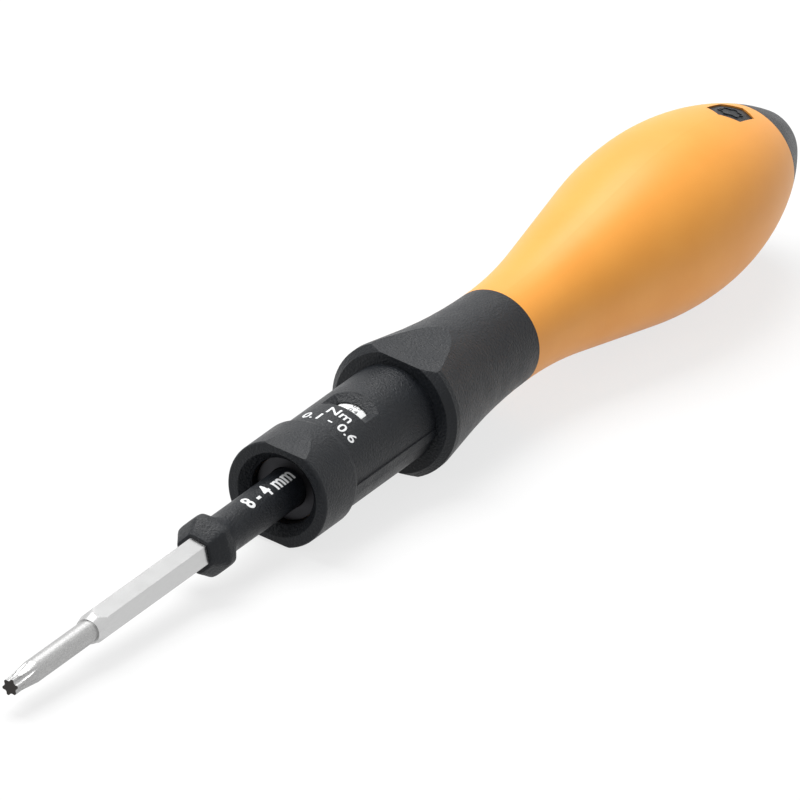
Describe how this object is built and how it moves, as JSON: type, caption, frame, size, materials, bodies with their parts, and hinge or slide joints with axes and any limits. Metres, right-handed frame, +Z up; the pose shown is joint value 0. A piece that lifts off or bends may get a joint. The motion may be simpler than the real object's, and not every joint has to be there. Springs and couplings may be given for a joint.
{
  "type": "torque screwdriver",
  "caption": "Adjustable torque screwdriver with a bulbous soft handle, anti-roll flange, scale window, slipping clutch and a pull-out hexagon-shank blade with a hexalobular tip.",
  "frame": {"origin": "middle of the tool's extent along and across, at the height of the surface it lies on", "axes": "+X along the tool from the blade's tip to the butt, its axis rising towards the butt by about 3 degrees; +Z up, on the side of the scale window; +Y across"},
  "size_m": [0.1925, 0.0244, 0.0246],
  "materials": {
    "black_plastic": "fine spark-eroded grain",
    "soft_grip": "satin soft-touch",
    "blade_steel": "matt chrome plate, blasted at the neck",
    "hard_steel": "ground",
    "bronze": "turned",
    "white_plastic": "printed scale"
  },
  "bodies": {
    "handle": {"front_sleeve": "black_plastic", "handle_core": "black_plastic", "grip_shell": "soft_grip", "symbol_pad": "black_plastic", "end_cap": "black_plastic", "front_bush": "bronze", "rear_bearing": "bronze", "thrust_washer_front": "hard_steel", "thrust_washer_rear": "hard_steel", "lock_ring": "hard_steel", "keyed_cam": "hard_steel", "spring_washer": "hard_steel", "torque_spring": "hard_steel"},
    "spindle": {"drive_spindle": "hard_steel", "spindle_clip": "hard_steel", "blade_ring": "hard_steel", "driven_cam": "hard_steel", "ball_cage": "bronze", "clutch_ball_1": "hard_steel", "clutch_ball_2": "hard_steel", "clutch_ball_3": "hard_steel", "clutch_ball_4": "hard_steel", "clutch_ball_5": "hard_steel", "clutch_ball_6": "hard_steel"},
    "blade": {"blade_shaft": "blade_steel", "blade_grip": "black_plastic"},
    "setting_screw": {"setting_screw": "hard_steel"},
    "scale": {"preload_nut": "bronze", "scale_sleeve": "white_plastic"}
  },
  "joints": [
    {"name": "clutch_slip", "type": "hinge", "parent": "handle", "child": "spindle", "pos_m": [-0.03071, 0, 0.0071], "axis": [0.9986, 0, 0.0526], "continuous": true},
    {"name": "blade_pull", "type": "slide", "parent": "spindle", "child": "blade", "axis": [-0.9986, 0, -0.0526], "range_m": [0, 0.115]},
    {"name": "torque_setting", "type": "hinge", "parent": "handle", "child": "setting_screw", "pos_m": [-0.03071, 0, 0.0071], "axis": [0.9986, 0, 0.0526], "range_deg": [-1080, 1080]},
    {"name": "scale_slide", "type": "slide", "parent": "handle", "child": "scale", "axis": [0.9986, 0, 0.0526], "range_m": [-0.0031, 0.0031], "deforming": ["torque_spring"]}
  ],
  "couplings": [
    {"joint": "scale_slide", "follows": "torque_setting", "m_per_rad": 0.00015915}
  ]
}
